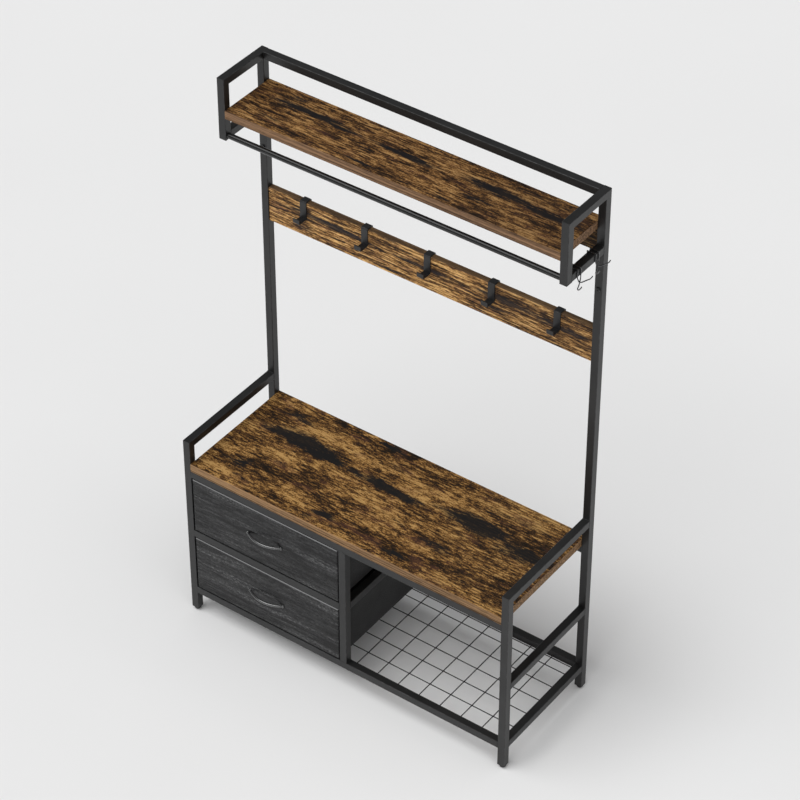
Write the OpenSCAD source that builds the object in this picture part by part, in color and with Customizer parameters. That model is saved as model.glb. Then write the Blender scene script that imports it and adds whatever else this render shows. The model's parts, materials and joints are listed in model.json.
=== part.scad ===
// Hall tree with a bench seat, two drawers, a mesh shelf, coat hooks and a top shelf.
// Millimetres, +Z up, the front faces -Y. Inside the modules x runs from the left side frame's
// outer face, y from the front face of the legs and z from the floor; in_frame() then moves
// everything so that the origin is the middle of the footprint, on the floor.

/* [Overall] */
// Width across the two side frames
body_w = 1050; // [820:1:1300]
// Depth from the front of the legs to the back of the posts
body_d = 388; // [310:1:470]
// Height from the floor to the top of the upper unit
body_h = 1644; // [1500:1:1980]

/* [Steel tube] */
// Side of the square tube
tube = 22; // [18:0.5:28]
// Wall of the square tube
tube_wall = 1.2; // [1:0.1:2]
// Outside corner radius of the square tube
tube_edge_r = 1.6; // [0.6:0.1:2.5]

/* [Bench] */
// Height of the seat's top above the floor
seat_h = 535; // [440:1:640]
// Thickness of the seat board and of the shelf board
board_t = 25; // [18:0.5:30]
// Height of the arm rails' top above the seat
guard_rise = 74; // [50:1:120]
// Height of the bottom rails' underside above the floor
bottom_clearance = 69; // [40:1:110]
// Chamfer on the boards' long edges
board_chamfer = 1; // [0.4:0.1:2]

/* [Upper unit] */
// Depth of the upper unit, from its front uprights to the back of the posts
upper_d = 182; // [150:1:240]
// Height of the upper unit
upper_h = 181.5; // [160:0.5:240]
// Height of the shelf board's underside above the bottom of the upper unit
shelf_rise = 66; // [50:1:90]
// Thickness of the back board under the shelf
back_board_t = 18; // [14:0.5:20]
// Diameter of the hanging rod
rod_d = 16; // [12:0.5:20]
// Height of the splice in the posts below the upper unit
splice_drop = 82; // [70:1:120]
// Length of the connector inside each spliced post
connector_len = 96; // [80:1:120]

/* [Hook board] */
// Height of the hook board
hook_board_h = 106.5; // [80:0.5:140]
// Thickness of the hook board
hook_board_t = 18; // [15:0.5:22]
// Distance from the hook board's top to the top of the object
hook_board_drop = 416.5; // [360:0.5:460]
// Distance from the left side frame's outer face to the middle of the first hook
hook_first = 136; // [90:1:160]
// Distance between the hooks' middles
hook_pitch = 197; // [120:0.5:200]
// Width of a hook's strap
hook_w = 20; // [14:0.5:26]
// Thickness of a hook's strap
hook_t = 3; // [2:0.5:4]
// Height of a hook's front strap, from its cap to its tongue
hook_drop = 55; // [40:1:75]
// Reach of a hook's tongue in front of its strap
hook_reach = 30; // [20:1:45]
// Height of a hook's end lip
hook_lip = 15; // [8:0.5:20]
// Height of a hook's rear flap
hook_flap = 18; // [10:1:30]

/* [Wire hooks] */
// Diameter of the wire
wire_d = 3; // [2:0.1:3.5]
// Distance from the back of the posts to the middle of the nearer wire hook
wire_hook_inset = 54; // [45:1:60]
// Distance between the two wire hooks
wire_hook_pitch = 78; // [60:1:80]
// Radius of the prongs' bend
prong_r = 19; // [12:0.5:20]
// Angle that a prong is turned to its side, from straight out
prong_turn = 55; // [35:1:60]

/* [Drawers] */
// Gap between a drawer front and the frame around it
drawer_gap = 3; // [1:0.25:4]
// Thickness of a drawer front
front_t = 15; // [12:0.5:20]
// Rounding of a drawer front's outer edges
front_edge_r = 4; // [1:0.5:6]
// Distance from a drawer front's sides to its fabric box
box_inset = 4; // [2:0.5:10]
// Height of a drawer's fabric box
drawer_box_h = 158; // [110:1:165]
// Thickness of the fabric walls
fabric_t = 2.5; // [2:0.25:4]
// Thickness of the stiff base board inside a drawer
base_t = 3; // [2:0.5:6]
// Distance from a drawer box's back to the back of the posts
drawer_back_gap = 8; // [4:1:20]
// Width of the bow handle
handle_w = 124; // [80:1:160]
// Reach of the bow handle in front of the drawer front
handle_reach = 23; // [16:0.5:30]
// Diameter of the bow handle's bar
handle_bar_d = 8; // [5:0.5:10]

/* [Mesh shelf] */
// Diameter of the mesh wire
mesh_wire = 3; // [2:0.25:5]
// Distance between the wires that run front to back
mesh_pitch_x = 68.2; // [40:0.1:90]
// Distance between the wires that run side to side
mesh_pitch_y = 60.7; // [40:0.1:80]
// Distance from a rail to the middle of the edge wire
mesh_edge = 4.5; // [3:0.5:10]

/* [Feet] */
// Height of a foot below the leg
foot_h = 10; // [6:0.5:20]
// Diameter of a foot
foot_d = 18; // [14:0.5:20]
// Rounding of a foot's lower edge
foot_edge_r = 5; // [2:0.5:6]
// Diameter of a foot's threaded stem
stem_d = 8; // [6:0.5:10]
// Length of a foot's threaded stem
stem_len = 24; // [16:1:40]
// Height of the insert in a leg's end
insert_h = 20; // [12:1:30]

/* [Fixings] */
// Diameter of the dowel pins that hold the boards
pin_d = 8; // [6:0.5:9]
// Length of the dowel pins
pin_len = 30; // [24:1:36]
// Diameter of the frame bolts
bolt_d = 6; // [5:0.5:8]
// Diameter of the frame bolts' button heads
bolt_head_d = 13; // [10:0.5:15]
// Height of the frame bolts' button heads
bolt_head_h = 4; // [3:0.5:5]
// Across-flats size of the socket in a bolt head
bolt_socket = 4; // [3:0.5:5]
// Diameter of the handle screws
screw_d = 4; // [3:0.5:5]
// Diameter of the handle screws' heads
screw_head_d = 8; // [6:0.5:10]

/* [Clearances] */
// Radial clearance of a pin, bolt or stem in its hole
fit_clearance = 0.05; // [0.02:0.01:0.1]
// Gap between two pieces that slide past each other
slide_gap = 0.5; // [0.3:0.1:1]

/* [Hidden] */
$fn = 48;

steel = [0.19, 0.19, 0.2];
zinc = [0.6, 0.6, 0.62];
wood = [0.5, 0.33, 0.18];
black_wood = [0.17, 0.17, 0.175];
fabric = [0.13, 0.13, 0.135];
plastic = [0.08, 0.08, 0.08];

eps = 0.01;
cut = 1;

// Heights of the frame, from the floor up.
bottom_z = bottom_clearance;
bay_z = bottom_z + tube;
seat_z = seat_h - board_t;
seat_rail_z = seat_z - tube;
middle_z = (bay_z + seat_rail_z - tube) / 2;
arm_z = seat_h + guard_rise;
upper_z = body_h - upper_h;
shelf_z = upper_z + shelf_rise;
splice_z = upper_z - splice_drop;
post_bolt_z = splice_z - connector_len * 0.3;
hook_board_top = body_h - hook_board_drop;
hook_board_z = hook_board_top - hook_board_h;

// Places across and along the frame.
inner_w = body_w - 2 * tube;
inner_d = body_d - 2 * tube;
right_x = body_w - tube;
rear_y = body_d - tube;
upper_y = body_d - upper_d;
centre_x = (body_w - tube) / 2;
rod_y = upper_y + tube / 2;
rod_z = upper_z + tube / 2;
sides = [0, right_x];

// Space between two mesh wires where they are spot welded.
weld_gap = 0.05;

// A drawer's width, height and place in its opening.
drawer_x = tube + drawer_gap;
drawer_w = centre_x - tube - 2 * drawer_gap;
drawer_h = middle_z - bay_z - 2 * drawer_gap;
box_x = drawer_x + box_inset;
box_w = drawer_w - 2 * box_inset;
box_d = body_d - front_t - drawer_back_gap;
lower_drawer_z = bay_z;
upper_drawer_z = middle_z + tube;
handle_r = (pow(handle_w / 2, 2) + pow(handle_reach, 2)) / (2 * handle_reach);
screw_x = handle_w / 2 - 1.5 * screw_d;
screw_boss_d = screw_d + 6;
screw_boss_h = 3;
screw_head_h = 2.4;

// The wire hooks hang on the right shelf rail.
wire_gap = 0.4;
wire_face = wire_gap + wire_d / 2;
wire_cross_drop = 18;
wire_slant = 10;
wire_bend_r = 2;
wire_tail = 18;
prong_start = 32;
prong_end = 10;
prong_middle = prong_r * cos(prong_start);
wire_ys = [body_d - wire_hook_inset - wire_hook_pitch, body_d - wire_hook_inset];

// The footprint, from which the origin follows.
x_min = -bolt_head_h;
x_max = body_w + wire_face + (prong_middle + prong_r) * cos(prong_turn) + wire_d / 2;
y_min = -handle_reach;
y_max = body_d + slide_gap + hook_t;
origin_x = (x_min + x_max) / 2;
origin_y = (y_min + y_max) / 2;

module in_frame() {
    translate([-origin_x, -origin_y, 0]) children();
}

// ---- Square tube ----

// The tube's section, drawn in from its outside by inset.
module tube_section(inset) {
    side = tube - 2 * inset;
    r = max(tube_edge_r - inset, 0.4);
    translate([inset, inset]) {
        translate([r, 0]) square([side - 2 * r, side]);
        translate([0, r]) square([side, side - 2 * r]);
        for (x = [r, side - r], y = [r, side - r]) translate([x, y]) circle(r);
    }
}

// A tube along +X. A mitred end is long at y = 0. A closed end has a welded plate.
module tube_bar(len, mitre_start = false, mitre_end = false, closed_start = false) {
    hollow_start = closed_start ? tube_wall : -cut;
    difference() {
        rotate([90, 0, 90]) linear_extrude(height = len) tube_section(0);
        translate([hollow_start, 0, 0]) rotate([90, 0, 90])
            linear_extrude(height = len + cut - hollow_start) tube_section(tube_wall);
        if (mitre_start)
            translate([0, 0, -cut]) rotate([0, 0, 45])
                translate([-tube, 0, 0]) cube([3 * tube, 2 * tube, tube + 2 * cut]);
        if (mitre_end)
            translate([len, 0, -cut]) rotate([0, 0, 45])
                translate([0, -tube, 0]) cube([2 * tube, 3 * tube, tube + 2 * cut]);
    }
}

// A tube across the object, from x.
module cross_bar(x, y, z, len) {
    translate([x, y, z]) tube_bar(len);
}

// A tube from front to back. Its mitred ends are long at the top.
module depth_bar(x, y, z, len, mitre_start = false, mitre_end = false) {
    translate([x + tube, y, z + tube]) rotate([-90, 0, 90]) tube_bar(len, mitre_start, mitre_end);
}

// An upright tube. Its mitred top is long at the front, or at the back when turned.
module upright_bar(x, y, z, len, mitre_top = false, long_back = false, closed_foot = false) {
    shift = long_back ? [x, y + tube, z] : [x + tube, y, z];
    turn = long_back ? 180 : 0;
    translate(shift) rotate([0, 0, turn]) rotate([0, -90, 0])
        tube_bar(len, false, mitre_top, closed_foot);
}

// ---- Fixings, used as pieces and, with a clearance, as the holes for them ----

// Dowel pins at one height of one board, through both side frames' inner faces.
module pin_pair(y, z, clearance) {
    for (x = [tube, right_x])
        translate([x - pin_len / 2 - clearance, y, z]) rotate([0, 90, 0])
            cylinder(r = pin_d / 2 + clearance, h = pin_len + 2 * clearance);
}

module seat_pins(clearance = 0) {
    for (y = [tube / 2, body_d - tube / 2]) pin_pair(y, seat_z + board_t / 2, clearance);
}

module shelf_pins(clearance = 0) {
    for (y = [rod_y, body_d - tube / 2]) pin_pair(y, shelf_z + board_t / 2, clearance);
}

module back_board_pins(clearance = 0) {
    pin_pair(rear_y + back_board_t / 2, upper_z + shelf_rise / 2, clearance);
}

module hook_board_pins(clearance = 0) {
    for (z = [hook_board_z + hook_board_h / 4, hook_board_top - hook_board_h / 4])
        pin_pair(body_d - hook_board_t / 2, z, clearance);
}

// A bolt with its head's underside at the origin and its shank along +X.
module bolt(shank_len, clearance = 0) {
    rotate([0, 90, 0]) cylinder(r = bolt_d / 2 + clearance, h = shank_len);
}

module bolt_head() {
    difference() {
        rotate([0, -90, 0]) rotate_extrude() {
            square([bolt_head_d / 2, bolt_head_h / 3]);
            square([bolt_head_d / 2 - bolt_head_h * 2 / 3, bolt_head_h]);
            translate([bolt_head_d / 2 - bolt_head_h * 2 / 3, bolt_head_h / 3])
                intersection() {
                    circle(bolt_head_h * 2 / 3);
                    square(bolt_head_h);
                }
        }
        translate([-bolt_head_h - cut, 0, 0]) rotate([0, 90, 0])
            cylinder(d = bolt_socket / cos(30), h = bolt_head_h / 2 + cut, $fn = 6);
    }
}

// Shanks of the bolts through the posts into their connectors.
module post_shanks(clearance = 0) {
    for (x = sides)
        translate([x + tube / 2, rear_y, post_bolt_z]) rotate([0, 0, 90])
            bolt(tube - 2 * tube_wall, clearance);
}

// Shanks in the rod's ends: a bolt through the left upright, a stud from inside the right one.
module rod_shanks(clearance = 0) {
    translate([0, rod_y, rod_z]) bolt(2 * tube, clearance);
    translate([body_w - tube / 2, rod_y, rod_z]) rotate([0, 0, 180])
        bolt(3 * tube / 2, clearance);
}

// ---- Side frames ----

module front_leg(x) {
    color(steel) in_frame() difference() {
        upright_bar(x, 0, foot_h, arm_z - foot_h, mitre_top = true);
        seat_pins(fit_clearance);
    }
}

module lower_post(x) {
    color(steel) in_frame() difference() {
        upright_bar(x, rear_y, foot_h, splice_z - foot_h);
        seat_pins(fit_clearance);
        hook_board_pins(fit_clearance);
        post_shanks(fit_clearance);
    }
}

module upper_post(x) {
    color(steel) in_frame() difference() {
        upright_bar(x, rear_y, splice_z, body_h - splice_z, mitre_top = true, long_back = true);
        shelf_pins(fit_clearance);
        back_board_pins(fit_clearance);
    }
}

module arm_rail(x) {
    color(steel) in_frame() depth_bar(x, 0, arm_z - tube, rear_y, mitre_start = true);
}

module side_rail(x, z) {
    color(steel) in_frame() depth_bar(x, tube, z, inner_d);
}

module top_rail(x) {
    color(steel) in_frame()
        depth_bar(x, upper_y, body_h - tube, upper_d, mitre_start = true, mitre_end = true);
}

module shelf_upright(x) {
    color(steel) in_frame() difference() {
        upright_bar(x, upper_y, upper_z, upper_h, mitre_top = true, closed_foot = true);
        shelf_pins(fit_clearance);
        rod_shanks(fit_clearance);
    }
}

module shelf_rail(x) {
    color(steel) in_frame() depth_bar(x, upper_y + tube, upper_z, upper_d - 2 * tube);
}

// ---- Rails and uprights between the side frames ----

module long_rail(y, z) {
    color(steel) in_frame() cross_bar(tube, y, z, inner_w);
}

module drawer_rail(y) {
    color(steel) in_frame() cross_bar(tube, y, middle_z, centre_x - tube);
}

module centre_upright(y) {
    color(steel) in_frame() upright_bar(centre_x, y, bay_z, seat_rail_z - bay_z);
}

module centre_runner() {
    color(steel) in_frame() depth_bar(centre_x, tube, middle_z, inner_d);
}

// ---- Boards ----

// A board along X with its long edges chamfered.
module board(x, y, z, len, depth, height) {
    c = board_chamfer;
    outline = [
        [c, 0], [depth - c, 0], [depth, c], [depth, height - c],
        [depth - c, height], [c, height], [0, height - c], [0, c]
    ];
    translate([x, y, z]) rotate([90, 0, 90]) linear_extrude(height = len) polygon(outline);
}

module seat_board() {
    color(wood) in_frame() difference() {
        board(tube, 0, seat_z, inner_w, body_d, board_t);
        seat_pins(fit_clearance);
    }
}

module shelf_board() {
    color(wood) in_frame() difference() {
        board(tube, upper_y, shelf_z, inner_w, upper_d, board_t);
        shelf_pins(fit_clearance);
    }
}

module back_board() {
    color(wood) in_frame() difference() {
        board(tube, rear_y, upper_z, inner_w, back_board_t, shelf_rise);
        back_board_pins(fit_clearance);
    }
}

module hook_board() {
    color(wood) in_frame() difference() {
        board(tube, body_d - hook_board_t, hook_board_z, inner_w, hook_board_t, hook_board_h);
        hook_board_pins(fit_clearance);
    }
}

// ---- Mesh shelf and rod ----

// Round wires between the bottom rails, level with their underside. Those from front to back lie
// across the others.
module mesh_shelf() {
    lower_wire_z = bottom_z + mesh_wire / 2;
    upper_wire_z = lower_wire_z + mesh_wire + weld_gap;
    edge_xs = [tube + mesh_edge, right_x - mesh_edge];
    edge_ys = [tube + mesh_edge, rear_y - mesh_edge];
    color(steel) in_frame() {
        for (x = concat(edge_xs, [for (x = right_x - mesh_edge - mesh_pitch_x;
                                       x > edge_xs[0] + 2 * mesh_wire; x = x - mesh_pitch_x) x]))
            translate([x, tube, upper_wire_z]) rotate([-90, 0, 0])
                cylinder(d = mesh_wire, h = inner_d);
        for (y = concat(edge_ys, [for (y = edge_ys[0] + mesh_pitch_y;
                                       y < edge_ys[1] - 2 * mesh_wire; y = y + mesh_pitch_y) y]))
            translate([tube, y, lower_wire_z]) rotate([0, 90, 0])
                cylinder(d = mesh_wire, h = inner_w);
    }
}

// The rod is a round tube with threaded ends.
module hanging_rod() {
    thread_len = tube + 5;
    color(steel) in_frame() difference() {
        translate([tube, rod_y, rod_z]) rotate([0, 90, 0]) cylinder(d = rod_d, h = inner_w);
        translate([tube + thread_len, rod_y, rod_z]) rotate([0, 90, 0])
            cylinder(d = rod_d - 2 * tube_wall, h = inner_w - 2 * thread_len);
        rod_shanks(fit_clearance);
    }
}

// ---- Hooks ----

// Takes the material outside a round corner away, at a corner that points along dx and dy.
module corner_round(x, y, dx, dy, r) {
    translate([x, y]) difference() {
        translate([dx > 0 ? 0 : -r, dy > 0 ? 0 : -r]) square(r);
        circle(r);
    }
}

// The strap's side outline: x is the depth direction and y is height.
module strap_outline() {
    front_y = body_d - hook_board_t - slide_gap;
    back_y = body_d + slide_gap;
    cap_z = hook_board_top + slide_gap + hook_t;
    tip_y = front_y - hook_t - hook_reach;
    bend_r = 1.5 * hook_t;
    bottom = cap_z - hook_drop;
    difference() {
        union() {
            translate([front_y - hook_t, cap_z - hook_t])
                square([back_y - front_y + 2 * hook_t, hook_t]);
            translate([back_y, cap_z - hook_flap]) square([hook_t, hook_flap]);
            translate([front_y - hook_t, bottom]) square([hook_t, hook_drop]);
            translate([tip_y, bottom]) square([hook_reach + hook_t, hook_t]);
            translate([tip_y, bottom]) square([hook_t, hook_lip]);
        }
        corner_round(front_y - hook_t + bend_r, cap_z - bend_r, -1, 1, bend_r + eps);
        corner_round(back_y + hook_t - bend_r, cap_z - bend_r, 1, 1, bend_r + eps);
        corner_round(front_y - bend_r, bottom + bend_r, 1, -1, bend_r + eps);
        corner_round(tip_y + bend_r, bottom + bend_r, -1, -1, bend_r + eps);
    }
}

// One of the flat strap hooks that hang over the hook board, counted from the left.
module strap_hook(number) {
    x = hook_first + (number - 1) * hook_pitch - hook_w / 2;
    color(steel) in_frame() translate([x, 0, 0]) rotate([90, 0, 90])
        linear_extrude(height = hook_w) strap_outline();
}

// A straight wire along +Z and a bent one about +Z, counted from +X.
module wire_run(len) {
    cylinder(d = wire_d, h = len, $fn = 24);
}

module wire_bend(r, angle) {
    rotate_extrude(angle = angle) translate([r, 0]) circle(d = wire_d, $fn = 24);
}

// One of a wire hook's two strands, drawn about the point where they are welded together. It
// starts behind the rail, goes over it, down its outer face to the weld, and curls out and up.
module wire_strand() {
    inner_x = -tube - wire_face;
    top = (tube + wire_face + wire_cross_drop) / cos(wire_slant);
    rotate([-wire_slant, 0, 0]) {
        translate([inner_x, 0, top - wire_tail]) wire_run(wire_tail - wire_bend_r);
        translate([inner_x + wire_bend_r, 0, top - wire_bend_r]) rotate([90, 0, 0])
            rotate([0, 0, 90]) wire_bend(wire_bend_r, 90);
        translate([inner_x + wire_bend_r, 0, top]) rotate([0, 90, 0])
            wire_run(tube + 2 * wire_face - 2 * wire_bend_r);
        translate([wire_face - wire_bend_r, 0, top - wire_bend_r]) rotate([90, 0, 0])
            wire_bend(wire_bend_r, 90);
        translate([wire_face, 0, -wire_d / 2]) wire_run(top - wire_bend_r + wire_d / 2);
        translate([wire_face, 0, 0]) rotate([0, 0, -prong_turn])
            translate([prong_middle, 0, prong_r * sin(prong_start)]) rotate([90, 0, 0])
                rotate([0, 0, 180 + prong_start]) wire_bend(prong_r, 180 - prong_start + prong_end);
    }
}

module wire_hook(y) {
    color(zinc) in_frame() translate([body_w, y, upper_z - wire_cross_drop])
        for (side = [0, 1]) mirror([0, side, 0]) wire_strand();
}

// ---- Drawers. z is the top of the rail that the drawer slides on ----

// Shanks of the two screws that hold a handle, from behind the drawer front.
module handle_shanks(z, clearance = 0) {
    for (s = [-1, 1])
        translate([drawer_x + drawer_w / 2 + s * screw_x, -screw_boss_h / 2, drawer_mid(z)])
            rotate([-90, 0, 0])
                cylinder(r = screw_d / 2 + clearance, h = screw_boss_h / 2 + front_t + fabric_t);
}

function drawer_mid(z) = z + drawer_gap + drawer_h / 2;

// A drawer front's section: across is its width or its height, and y is the depth.
module front_outline(across) {
    r = front_edge_r;
    translate([r, 0]) square([across - 2 * r, front_t]);
    translate([0, r]) square([across, front_t - r]);
    for (x = [r, across - r]) translate([x, r]) circle(r);
}

module drawer_front(z) {
    color(black_wood) in_frame() difference() {
        translate([drawer_x, 0, z + drawer_gap]) intersection() {
            linear_extrude(height = drawer_h) front_outline(drawer_w);
            translate([drawer_w, 0, 0]) rotate([0, -90, 0])
                linear_extrude(height = drawer_w) front_outline(drawer_h);
        }
        handle_shanks(z, fit_clearance);
    }
}

module drawer_box(z) {
    color(fabric) in_frame() difference() {
        translate([box_x, front_t, z + slide_gap]) cube([box_w, box_d, drawer_box_h]);
        translate([box_x + fabric_t, front_t + fabric_t, z + slide_gap + fabric_t])
            cube([box_w - 2 * fabric_t, box_d - 2 * fabric_t, drawer_box_h]);
        handle_shanks(z, fit_clearance);
    }
}

module drawer_base(z) {
    color(fabric) in_frame()
        translate([box_x + 2 * fabric_t, front_t + 2 * fabric_t, z + slide_gap + fabric_t])
            cube([box_w - 4 * fabric_t, box_d - 4 * fabric_t, base_t]);
}

module drawer_handle(z) {
    color(steel) in_frame() difference() {
        translate([drawer_x + drawer_w / 2, 0, drawer_mid(z)]) {
            intersection() {
                translate([0, handle_r - handle_reach, 0]) rotate_extrude($fn = 120)
                    translate([handle_r - handle_bar_d / 2, 0]) circle(d = handle_bar_d);
                translate([-handle_w, -2 * handle_reach, -handle_bar_d])
                    cube([2 * handle_w, 2 * handle_reach, 2 * handle_bar_d]);
            }
            for (s = [-1, 1])
                translate([s * screw_x, 0, 0]) rotate([90, 0, 0])
                    cylinder(d = screw_boss_d, h = screw_boss_h);
        }
        handle_shanks(z, fit_clearance);
    }
}

module handle_screws(z) {
    color(zinc) in_frame() {
        handle_shanks(z);
        for (s = [-1, 1])
            translate([drawer_x + drawer_w / 2 + s * screw_x, front_t + fabric_t, drawer_mid(z)])
                rotate([-90, 0, 0]) cylinder(d = screw_head_d, h = screw_head_h);
    }
}

// ---- Feet and inner pieces ----

module foot(x, y) {
    body_top = foot_h - slide_gap;
    color(plastic) in_frame() translate([x + tube / 2, y + tube / 2, 0]) {
        rotate_extrude() {
            square([foot_d / 2 - foot_edge_r, body_top]);
            translate([0, foot_edge_r]) square([foot_d / 2, body_top - foot_edge_r]);
            intersection() {
                translate([foot_d / 2 - foot_edge_r, foot_edge_r]) circle(foot_edge_r);
                square([foot_d, body_top]);
            }
        }
        cylinder(d = stem_d, h = foot_h + stem_len);
    }
}

module leg_inserts() {
    side = tube - 2 * tube_wall;
    color(plastic) in_frame()
        for (x = sides, y = [0, rear_y])
            translate([x + tube / 2, y + tube / 2, foot_h]) difference() {
                linear_extrude(height = insert_h)
                    translate([-tube / 2, -tube / 2]) tube_section(tube_wall);
                translate([0, 0, -cut])
                    cylinder(r = stem_d / 2 + fit_clearance, h = insert_h + 2 * cut);
            }
}

module post_connectors() {
    color(zinc) in_frame() difference() {
        for (x = sides)
            translate([x, rear_y, splice_z - connector_len / 2])
                linear_extrude(height = connector_len) difference() {
                    tube_section(tube_wall);
                    tube_section(3 * tube_wall);
                }
        post_shanks(fit_clearance);
    }
}

module post_bolts() {
    color(plastic) in_frame() {
        post_shanks();
        for (x = sides)
            translate([x + tube / 2, rear_y, post_bolt_z]) rotate([0, 0, 90]) bolt_head();
    }
}

module rod_bolts() {
    color(plastic) in_frame() {
        rod_shanks();
        translate([0, rod_y, rod_z]) bolt_head();
    }
}

module board_pins() {
    color(zinc) in_frame() {
        seat_pins();
        shelf_pins();
        back_board_pins();
        hook_board_pins();
    }
}

front_leg(0);  // left_front_leg
front_leg(right_x);  // right_front_leg
lower_post(0);  // left_lower_post
lower_post(right_x);  // right_lower_post
upper_post(0);  // left_upper_post
upper_post(right_x);  // right_upper_post
arm_rail(0);  // left_arm_rail
arm_rail(right_x);  // right_arm_rail
side_rail(0, middle_z);  // left_middle_rail
side_rail(right_x, middle_z);  // right_middle_rail
side_rail(0, bottom_z);  // left_bottom_rail
side_rail(right_x, bottom_z);  // right_bottom_rail
top_rail(0);  // left_top_rail
top_rail(right_x);  // right_top_rail
shelf_upright(0);  // left_shelf_upright
shelf_upright(right_x);  // right_shelf_upright
shelf_rail(0);  // left_shelf_rail
shelf_rail(right_x);  // right_shelf_rail
long_rail(0, seat_rail_z);  // seat_front_rail
long_rail(rear_y, seat_rail_z);  // seat_rear_rail
long_rail(0, bottom_z);  // bottom_front_rail
long_rail(rear_y, bottom_z);  // bottom_rear_rail
centre_upright(0);  // centre_front_upright
centre_upright(rear_y);  // centre_rear_upright
drawer_rail(0);  // drawer_front_rail
drawer_rail(rear_y);  // drawer_rear_rail
centre_runner();
long_rail(rear_y, body_h - tube);  // top_rear_rail
seat_board();
shelf_board();
back_board();
hook_board();
mesh_shelf();
hanging_rod();
strap_hook(1);  // hook_1
strap_hook(2);  // hook_2
strap_hook(3);  // hook_3
strap_hook(4);  // hook_4
strap_hook(5);  // hook_5
wire_hook(wire_ys[0]);  // wire_hook_front
wire_hook(wire_ys[1]);  // wire_hook_rear
drawer_front(upper_drawer_z);  // upper_drawer_front
drawer_box(upper_drawer_z);  // upper_drawer_box
drawer_base(upper_drawer_z);  // upper_drawer_base
drawer_handle(upper_drawer_z);  // upper_drawer_handle
handle_screws(upper_drawer_z);  // upper_handle_screws
drawer_front(lower_drawer_z);  // lower_drawer_front
drawer_box(lower_drawer_z);  // lower_drawer_box
drawer_base(lower_drawer_z);  // lower_drawer_base
drawer_handle(lower_drawer_z);  // lower_drawer_handle
handle_screws(lower_drawer_z);  // lower_handle_screws
foot(0, 0);  // front_left_foot
foot(right_x, 0);  // front_right_foot
foot(0, rear_y);  // rear_left_foot
foot(right_x, rear_y);  // rear_right_foot
leg_inserts();
post_connectors();
post_bolts();
rod_bolts();
board_pins();
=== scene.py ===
"""Hall tree with a bench, two drawers, a mesh shelf, coat hooks and a top shelf.

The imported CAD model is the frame. This script gives every CAD node a material, replaces the mesh,
the drawer fronts, the fabric boxes, the handles and the wire hooks with detailed pieces, and adds
weld beads and stitching. All sizes are in metres, in the CAD's own frame.
"""
import json
import math
import random

import bmesh
import bpy
from mathutils import Matrix, Vector, noise


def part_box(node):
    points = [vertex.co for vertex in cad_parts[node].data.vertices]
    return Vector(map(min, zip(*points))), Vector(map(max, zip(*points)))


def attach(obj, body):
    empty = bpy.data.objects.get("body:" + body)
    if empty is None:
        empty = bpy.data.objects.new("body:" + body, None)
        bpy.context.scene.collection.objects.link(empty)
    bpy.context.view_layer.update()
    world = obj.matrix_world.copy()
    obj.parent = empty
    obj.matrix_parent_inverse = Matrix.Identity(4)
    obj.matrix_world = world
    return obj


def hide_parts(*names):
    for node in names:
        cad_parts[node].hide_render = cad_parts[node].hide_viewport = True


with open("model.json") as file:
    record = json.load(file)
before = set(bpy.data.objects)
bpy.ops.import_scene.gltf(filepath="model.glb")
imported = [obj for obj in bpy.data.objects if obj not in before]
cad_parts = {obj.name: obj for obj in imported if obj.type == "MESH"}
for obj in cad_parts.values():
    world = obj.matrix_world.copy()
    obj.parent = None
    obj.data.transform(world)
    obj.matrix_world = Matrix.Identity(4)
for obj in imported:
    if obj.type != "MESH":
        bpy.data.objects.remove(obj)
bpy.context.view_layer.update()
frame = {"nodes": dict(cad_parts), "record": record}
nodes = frame["nodes"]
MM = 0.001


# ---------------------------------------------------------------- camera
CAMERA_AT = Vector((3.56393, -4.82735, 5.8082))
CAMERA_AZIMUTH = 36.096
CAMERA_ELEVATION = 39.379
CAMERA_LENS = 136.9

camera_data = bpy.data.cameras.new("camera")
camera_data.lens = CAMERA_LENS
camera_data.sensor_width = 36.0
camera_data.clip_end = 60.0
camera = bpy.data.objects.new("camera", camera_data)
camera.location = CAMERA_AT
camera.rotation_euler = (math.radians(90.0 - CAMERA_ELEVATION), 0.0, math.radians(CAMERA_AZIMUTH))
bpy.context.scene.collection.objects.link(camera)
bpy.context.scene.camera = camera


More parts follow.
